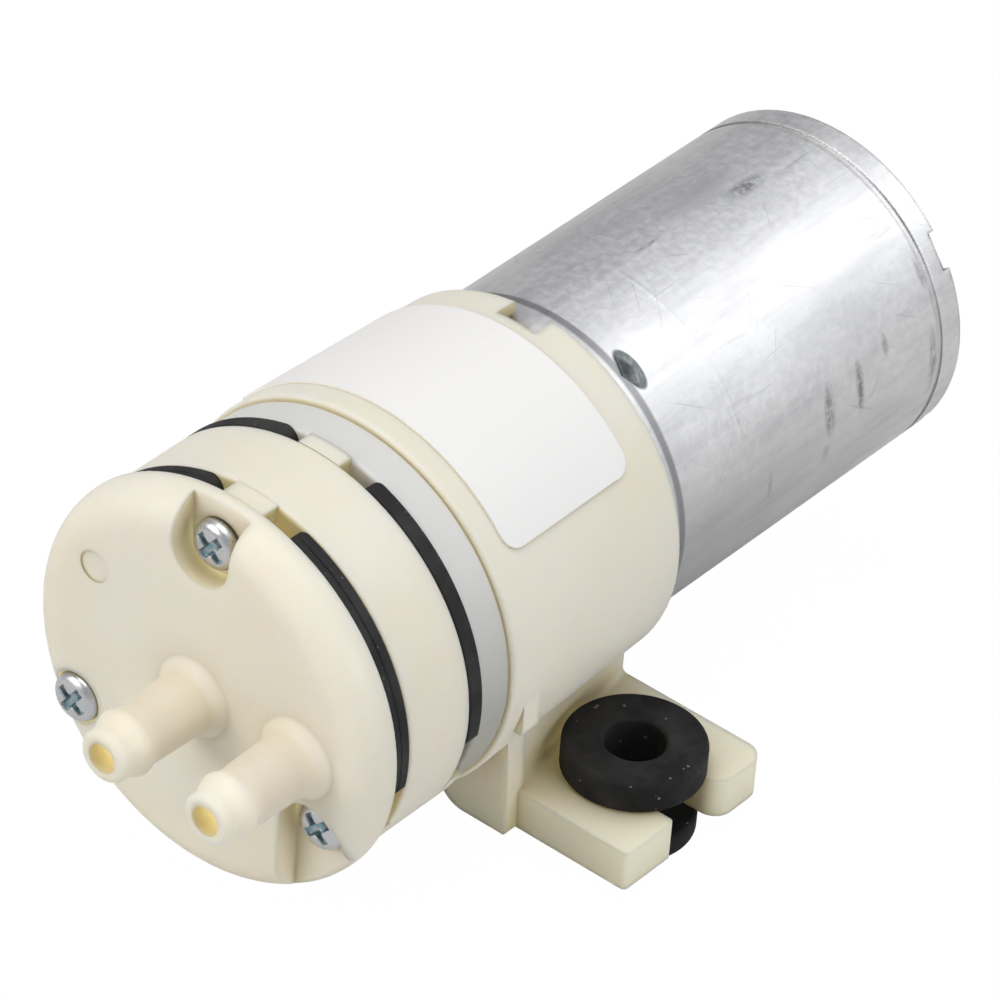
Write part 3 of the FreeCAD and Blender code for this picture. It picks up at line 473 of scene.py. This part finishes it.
def label_paper():
    """Smooth white coated paper."""
    made, tree, shader = material("label_paper", PAPER, roughness=0.48)
    shader.inputs["Specular IOR Level"].default_value = 0.3
    fibres = noise(tree, scale=1600.0, detail=3.0, roughness=0.6)
    roughness = between(tree, fibres, start=0.3, end=0.7, at_start=0.44, at_end=0.52)
    tree.links.new(roughness, shader.inputs["Roughness"])
    soften(tree, shader, PAPER_EDGE, fibres, strength=0.1, depth=0.005 * MM)
    return made


def plain(name, base, roughness, metallic):
    """Moulded, ground or pressed surface with a fine grain and slight colour variation."""
    made, tree, shader = material(name, base, roughness, metallic)
    clouds = between(tree, noise(tree, scale=350.0, detail=3.0), start=0.3, end=0.7)
    darker = tuple(PLAIN_DARKER * channel for channel in base[:3]) + (1.0,)
    tree.links.new(mix_colour(tree, clouds, darker, base), shader.inputs["Base Color"])
    grain = noise(tree, scale=1800.0, detail=2.0)
    soften(tree, shader, PLAIN_EDGE, grain, strength=0.2, depth=0.01 * MM)
    return made


def unrolled_place(tree):
    """Place on the can's unrolled wall, with its arc length from the top and its station along the axis."""
    height = math_node(tree, "SUBTRACT", place_along(tree, "Z"), AXIS_HEIGHT)
    turn = math_node(tree, "ARCTAN2", place_along(tree, "X"), height)
    arc = scaled(tree, turn, by=CAN_RADIUS)
    station = place_along(tree, "Y")
    flat = node(tree, "ShaderNodeCombineXYZ")
    tree.links.new(arc, flat.inputs["X"])
    tree.links.new(station, flat.inputs["Y"])
    return flat.outputs[0], arc, station


def marks(tree, rows, arc, station, grain, solid=0.1):
    """Scuffs, or painted shade in the dimples, at given places on the can, full up to a share of their size,
    broken up by a grain.
    """
    total = None
    for mark_arc, mark_station, half_arc, half_length, strength in rows:
        across = math_node(tree, "DIVIDE", math_node(tree, "SUBTRACT", arc, mark_arc), half_arc)
        along = math_node(tree, "DIVIDE", math_node(tree, "SUBTRACT", station, mark_station), half_length)
        square = math_node(tree, "ADD", scaled(tree, across, by=across), scaled(tree, along, by=along))
        spot = between(tree, square, start=solid, end=1.0, at_start=strength, at_end=0.0)
        total = spot if total is None else larger(tree, total, spot)
    return scaled(tree, total, by=grain)


def line_round(tree, station, middle, core, half_width):
    """One on a line round the can, fading from its core to its half width."""
    return between(tree, distance_to(tree, station, middle), core, half_width, at_start=1.0, at_end=0.0)


def can_plating(tree, flat, mottle, drawn):
    """Colour of the plating: mottled, clouded, and streaked along the axis."""
    clouds = noise(tree, scale=160.0, detail=4.0, roughness=0.6, stretch=(1.0, 0.5, 1.0), place=flat)
    tone = math_node(
        tree, "ADD", scaled(tree, mottle, by=MOTTLE_SHARE), scaled(tree, clouds, by=CLOUD_SHARE))
    tone = math_node(tree, "ADD", tone, scaled(tree, drawn, by=DRAWN_SHARE))
    return mix_colour(tree, between(tree, tone, start=0.34, end=0.60), STEEL_DARK, STEEL_LIGHT)


def can_shade(tree, colour, arc, station):
    """Painted shade: darkens the can beside the case and low on its front half."""
    # Painted shade beside the case, where other surfaces are near
    crowded = between(tree, openness(tree, CAN_HOLLOW_REACH), start=0.97, end=0.50, at_end=0.9)
    colour = mix_colour(tree, crowded, colour, STEEL_SHADE)
    # Painted shade low on the can's front half
    low_down = between(tree, distance_to(tree, arc, 0.0), *SHADED_ARC)
    low_shade = scaled(tree, low_down, by=between(tree, station, *SHADED_STATION))
    return mix_colour(tree, scaled(tree, low_shade, by=LOW_SHADE_STRENGTH), colour, STEEL_SHADE)


def scratch_lines(tree, place, turn):
    """Sparse fine scratches on the unrolled wall, turned from the axis by an angle."""
    spread = node(
        tree, "ShaderNodeMapping", vector_type="TEXTURE", Rotation=(0.0, 0.0, turn),
        Scale=(1.0, SCRATCH_STRETCH, 1.0))
    tree.links.new(place, spread.inputs["Vector"])
    lines = noise(tree, scale=2600.0, detail=2.0, roughness=0.5, place=spread.outputs["Vector"])
    return between(tree, lines, start=0.69, end=0.74)


def can_scratches(tree, flat, drawn):
    """Strength of the fine scratches: the deepest streaks and sparse lines in a few directions."""
    scratches = between(tree, drawn, start=0.61, end=0.70)
    for turn in SCRATCH_TURNS:
        scratches = larger(tree, scratches, scratch_lines(tree, flat, math.radians(turn)))
    return scaled(tree, scratches, by=SCRATCH_STRENGTH)


def can_scuffs(tree, flat, arc, station, mottle):
    """Strength of the larger scuffs, along the can and round it."""
    along = marks(tree, AXIAL_MARKS, arc, station, between(tree, mottle, start=0.40, end=0.56))
    wrapped = noise(tree, scale=900.0, detail=4.0, roughness=0.65, stretch=(0.12, 1.0, 1.0), place=flat)
    streaks = between(tree, wrapped, start=0.36, end=0.56)
    broken = scaled(tree, streaks, by=between(tree, mottle, start=0.34, end=0.54))
    return larger(tree, along, marks(tree, ROUND_MARKS, arc, station, broken))


def can_steel():
    """Plated deep-drawn steel with mottling, streaks and scuffs, painted shade beside the case, low down and
    in its dimples, and a painted shadow line in a groove beside the case.
    """
    made, tree, shader = material("can_steel", STEEL_LIGHT, roughness=0.40, metallic=1.0)
    flat, arc, station = unrolled_place(tree)
    mottle = noise(tree, scale=1300.0, detail=5.0, roughness=0.7, place=flat)
    drawn = noise(tree, scale=900.0, detail=4.0, roughness=0.65, stretch=(1.0, 0.10, 1.0), place=flat)
    colour = can_shade(tree, can_plating(tree, flat, mottle, drawn), arc, station)
    colour = mix_colour(tree, can_scratches(tree, flat, drawn), colour, SCRATCH)
    colour = mix_colour(tree, can_scuffs(tree, flat, arc, station, mottle), colour, SCUFF_AND_SHADOW)
    # Painted shade in the dimples, broken up by the mottling
    dimple_shade = between(tree, mottle, start=0.30, end=0.50, at_start=0.6, at_end=0.9)
    colour = mix_colour(tree, marks(tree, DIMPLES, arc, station, dimple_shade, solid=0.75), colour, DIMPLE_SHADE)
    # Painted shadow line in the groove beside the case; the same line also sinks the groove in the relief
    groove_and_shadow = line_round(tree, station, GROOVE_STATION, GROOVE_CORE, GROOVE_HALF_WIDTH)
    colour = mix_colour(tree, scaled(tree, groove_and_shadow, by=GROOVE_SHADOW_STRENGTH), colour, SCUFF_AND_SHADOW)
    tree.links.new(colour, shader.inputs["Base Color"])
    roughness = between(tree, mottle, start=0.35, end=0.65, at_start=0.38, at_end=0.50)
    tree.links.new(roughness, shader.inputs["Roughness"])
    ring = line_round(tree, station, CAN_RING_STATION, 0.0, CAN_RING_HALF_WIDTH)
    pressed = scaled(tree, math_node(tree, "SUBTRACT", ring, groove_and_shadow), by=RING_HEIGHT)
    relief = math_node(tree, "ADD", mottle, pressed)
    soften(tree, shader, CAN_EDGE, relief, strength=0.30, depth=0.02 * MM)
    return made


def dress_nodes(zinc):
    """Gives every CAD node its material."""
    cover_cream = cream_plastic("cover_cream", COVER_EDGE, COVER_GLOW)
    body_cream = cream_plastic("body_cream", BODY_EDGE, BODY_GLOW)
    sheet_rubber = rubber("sheet_rubber", speck_scale=2600.0, shine=0.28)
    grommet_rubber = rubber("grommet_rubber", speck_scale=1300.0, shine=0.14)
    plain_look = {name: plain(name, *row) for name, row in PLAIN_LOOKS.items()}
    looks = {
        "head_cover": cover_cream,
        "valve_body": body_cream,
        "pump_case": body_cream,
        "diaphragm_holder": grey_plastic(),
        "cover_gasket": sheet_rubber,
        "valve_sheet": sheet_rubber,
        "diaphragm": sheet_rubber,
        "intake_valves": sheet_rubber,
        "grommet_right": grommet_rubber,
        "grommet_left": grommet_rubber,
        "cover_screws": zinc,
        "motor_screws": zinc,
        "case_label": label_paper(),
        "motor_can": can_steel(),
        "motor_end_cap": plain_look["cap_plastic"],
        "motor_terminals": plain_look["terminal_metal"],
        "front_bearing": plain_look["bronze"],
        "rear_bearing": plain_look["bronze"],
        "magnets": plain_look["ferrite"],
        "brushes": plain_look["carbon"],
        "brush_arms": plain_look["copper"],
        "motor_shaft": plain_look["ground_steel"],
        "armature_core": plain_look["core_steel"],
        "windings": plain_look["copper"],
        "commutator": plain_look["copper"],
        "eccentric": plain_look["white_nylon"],
        "wobble_pin": plain_look["ground_steel"],
        "wobble_plate": plain_look["white_nylon"],
    }
    for name, look in looks.items():
        shown = frame["nodes"][name]
        shown.data.materials.clear()
        shown.data.materials.append(look)


def ramp(inside, wall):
    """Goes from zero to one over a wall's thickness."""
    return min(max(inside / wall + 0.5, 0.0), 1.0)


def recess_share(across, along):
    """One inside the cross recess, zero outside; both distances are from its centre."""
    def arm(beside, out):
        return min(
            ramp(RECESS_HALF_WIDTH - abs(beside), RECESS_WALL), ramp(RECESS_REACH - abs(out), RECESS_WALL))
    core = ramp(RECESS_CORE - math.hypot(across, along), RECESS_WALL)
    return max(arm(across, along), arm(along, across), core)


def head_point(ring, turn):
    """Point and recess share on the domed front of a screw head, from its centre outwards."""
    share = ring / HEAD_RINGS
    radius = HEAD_RADIUS * share
    x, z = radius * math.cos(turn), radius * math.sin(turn)
    height = HEAD_SIDE + (HEAD_HEIGHT - HEAD_SIDE) * math.sqrt(max(1.0 - share ** DOME_POWER, 0.0))
    sunk = recess_share(x, z)
    depth = RECESS_DEPTH * (1.0 - RECESS_RISE * radius / RECESS_REACH)
    return (x, -height + sunk * depth, z), sunk


def shank_stations():
    """Stations of the thread's rings from under the head to the point."""
    count = int(SHANK_LENGTH / THREAD_PITCH * RINGS_PER_PITCH)
    return [SHANK_LENGTH * index / count for index in range(count + 1)]


def shank_radius(station, turn):
    """Radius of the threaded shank, which narrows to a point."""
    groove_share = abs((station / THREAD_PITCH - turn / math.tau) % 1.0 - 0.5) * 2.0
    taper = min((SHANK_LENGTH - station) / POINT_LENGTH, 1.0)
    return (SHANK_RADIUS - THREAD_DEPTH * groove_share) * max(taper, POINT_SHARE)


class Skin:
    """Points, faces and recess shares of a mesh that is built ring by ring."""

    def __init__(self):
        self.points, self.shares, self.faces = [], [], []

    def add_ring(self, points, shares, join):
        """Adds a closed ring and, where asked, joins it to the one before."""
        start, count = len(self.points), len(points)
        before = start - count
        self.points += points
        self.shares += shares
        if join:
            for index in range(count):
                after = (index + 1) % count
                self.faces.append((before + index, before + after, start + after, start + index))

    def last_ring(self, count):
        """Numbers of the points of the last ring."""
        return range(len(self.points) - count, len(self.points))


def turns(segments):
    """Angles of a ring's points."""
    return [math.tau * index / segments for index in range(segments)]


def ring_points(radii, angles, station):
    """Points of a ring round a screw's axis, with a radius for each angle."""
    return [
        (radius * math.cos(turn), station, radius * math.sin(turn))
        for radius, turn in zip(radii, angles)]


def place_point(point, x, z, seat, twist):
    """Moves a point of a screw from its own axis to its place on the pump."""
    across, along, up = point
    cosine, sine = math.cos(twist), math.sin(twist)
    return (x + across * cosine - up * sine, seat + along, z + across * sine + up * cosine)


def add_screw(skin, x, z, seat, twist):
    """One pan-head screw with a cross recess and a thread, its head's underside at the seat."""
    def placed(points):
        return [place_point(point, x, z, seat, twist) for point in points]

    angles = turns(HEAD_SEGMENTS)
    for ring in range(1, HEAD_RINGS + 1):
        points, shares = zip(*[head_point(ring, turn) for turn in angles])
        skin.add_ring(placed(points), list(shares), ring > 1)
        if ring == 1:
            skin.faces.append(tuple(reversed(skin.last_ring(HEAD_SEGMENTS))))
    for radius in (HEAD_RADIUS, SHANK_RADIUS):
        points = ring_points([radius] * HEAD_SEGMENTS, angles, 0.0)
        skin.add_ring(placed(points), [0.0] * HEAD_SEGMENTS, True)
    angles = turns(SHANK_SEGMENTS)
    for index, station in enumerate(shank_stations()):
        points = ring_points([shank_radius(station, turn) for turn in angles], angles, station)
        skin.add_ring(placed(points), [0.0] * SHANK_SEGMENTS, index > 0)
    skin.faces.append(tuple(skin.last_ring(SHANK_SEGMENTS)))


def stack_screws(zinc):
    """The three stack screws in detail, in place of the plain ones."""
    skin = Skin()
    for index, (seat, twist) in enumerate(zip(SCREW_SEATS, SCREW_TURNS)):
        angle = math.tau * index / len(SCREW_SEATS)
        x = SCREW_CIRCLE * math.sin(angle)
        z = AXIS_HEIGHT + SCREW_CIRCLE * math.cos(angle)
        add_screw(skin, x, z, seat, math.radians(twist))
    mesh = bpy.data.meshes.new("stack_screws")
    mesh.from_pydata(skin.points, [], skin.faces)
    mesh.attributes.new("recess", "FLOAT", "POINT").data.foreach_set("value", skin.shares)
    mesh.shade_smooth()
    mesh.materials.append(zinc)
    screws = bpy.data.objects.new("stack_screws", mesh)
    bpy.context.scene.collection.objects.link(screws)
    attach(screws, "root")
    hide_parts("cover_screws")


def floor():
    """Pale floor that looks white to the camera and still takes the pump's shadow."""
    bpy.ops.mesh.primitive_grid_add(x_subdivisions=2, y_subdivisions=2, size=FLOOR_SIZE)
    ground = bpy.context.object
    ground.name = "floor"
    made, tree, shader = material("floor", FLOOR_GREY, roughness=0.8)
    shader.inputs["Specular IOR Level"].default_value = 0.0
    path = node(tree, "ShaderNodeLightPath")
    from_camera = scaled(tree, path.outputs["Is Camera Ray"], by=FLOOR_GLOW_SEEN)
    from_gloss = scaled(tree, path.outputs["Is Glossy Ray"], by=FLOOR_GLOW_REFLECTED)
    glow = node(tree, "ShaderNodeEmission", Strength=FLOOR_GLOW)
    blend = node(tree, "ShaderNodeMixShader")
    tree.links.new(larger(tree, from_camera, from_gloss), blend.inputs["Fac"])
    tree.links.new(shader.outputs[0], blend.inputs[1])
    tree.links.new(glow.outputs[0], blend.inputs[2])
    tree.links.new(blend.outputs[0], tree.nodes["Material Output"].inputs["Surface"])
    ground.data.materials.append(made)


def surroundings_strength(tree, glossy_ray):
    """Strength of the light from around: an even fill, and for reflections a brighter side."""
    facing = node(tree, "ShaderNodeVectorMath", operation="DOT_PRODUCT")
    tree.links.new(node(tree, "ShaderNodeTexCoord").outputs["Generated"], facing.inputs[0])
    facing.inputs[1].default_value = BRIGHT_DIRECTION
    reflected = between(
        tree, facing.outputs["Value"], *BRIGHT_RANGE, at_start=REFLECTED_LOW, at_end=REFLECTED_HIGH)
    strength = node(tree, "ShaderNodeMix", data_type="FLOAT")
    evenly, in_gloss = (strength.inputs[socket] for socket in MIX_NUMBERS)
    tree.links.new(glossy_ray, strength.inputs[MIX_FACTOR])
    evenly.default_value = FILL
    tree.links.new(reflected, in_gloss)
    return strength.outputs[0]


def world():
    """White surroundings for the camera, dimmer ones for light, with a bright side for reflections."""
    made = bpy.data.worlds.new("studio")
    made.use_nodes = True
    tree = made.node_tree
    path = node(tree, "ShaderNodeLightPath")
    backdrop = tree.nodes["Background"]
    set_inputs(backdrop, {"Color": WHITE, "Strength": 1.0})
    fill = node(tree, "ShaderNodeBackground", Color=FILL_COLOUR)
    strength = surroundings_strength(tree, path.outputs["Is Glossy Ray"])
    tree.links.new(strength, fill.inputs["Strength"])
    blend = node(tree, "ShaderNodeMixShader")
    tree.links.new(path.outputs["Is Camera Ray"], blend.inputs["Fac"])
    tree.links.new(fill.outputs[0], blend.inputs[1])
    tree.links.new(backdrop.outputs[0], blend.inputs[2])
    tree.links.new(blend.outputs[0], tree.nodes["World Output"].inputs["Surface"])
    bpy.context.scene.world = made


def softbox(name, place, size, power, colour):
    """Rectangular area light that faces the middle of the pump."""
    lamp = bpy.data.lights.new(name, "AREA")
    lamp.color = colour
    lamp.shape = "RECTANGLE"
    lamp.size, lamp.size_y = size
    lamp.energy = power
    holder = bpy.data.objects.new(name, lamp)
    holder.location = place
    holder.rotation_mode = "QUATERNION"
    middle = Vector((0.0, 0.0, AXIS_HEIGHT))
    holder.rotation_quaternion = (Vector(place) - middle).to_track_quat("Z", "Y")
    bpy.context.scene.collection.objects.link(holder)


def lights():
    """Large soft boxes: high behind, overhead, and weak ones in front and to the right."""
    for row in SOFT_BOXES:
        softbox(*row)


def camera():
    """Camera at the photograph's viewpoint."""
    data = bpy.data.cameras.new("camera")
    data.lens = CAMERA_LENS
    data.sensor_width = SENSOR_WIDTH
    data.clip_start = CAMERA_NEAR
    data.clip_end = CAMERA_FAR
    seen = bpy.data.objects.new("camera", data)
    bpy.context.scene.collection.objects.link(seen)
    turn = Matrix((CAMERA_RIGHT, CAMERA_UP, CAMERA_BACK)).transposed()
    seen.rotation_mode = "QUATERNION"
    seen.rotation_quaternion = turn.to_quaternion()
    seen.location = CAMERA_PLACE
    bpy.context.scene.camera = seen


zinc = zinc_steel()
dress_nodes(zinc)
stack_screws(zinc)
floor()
world()
lights()
camera()
bpy.context.scene.view_settings.view_transform = "Standard"
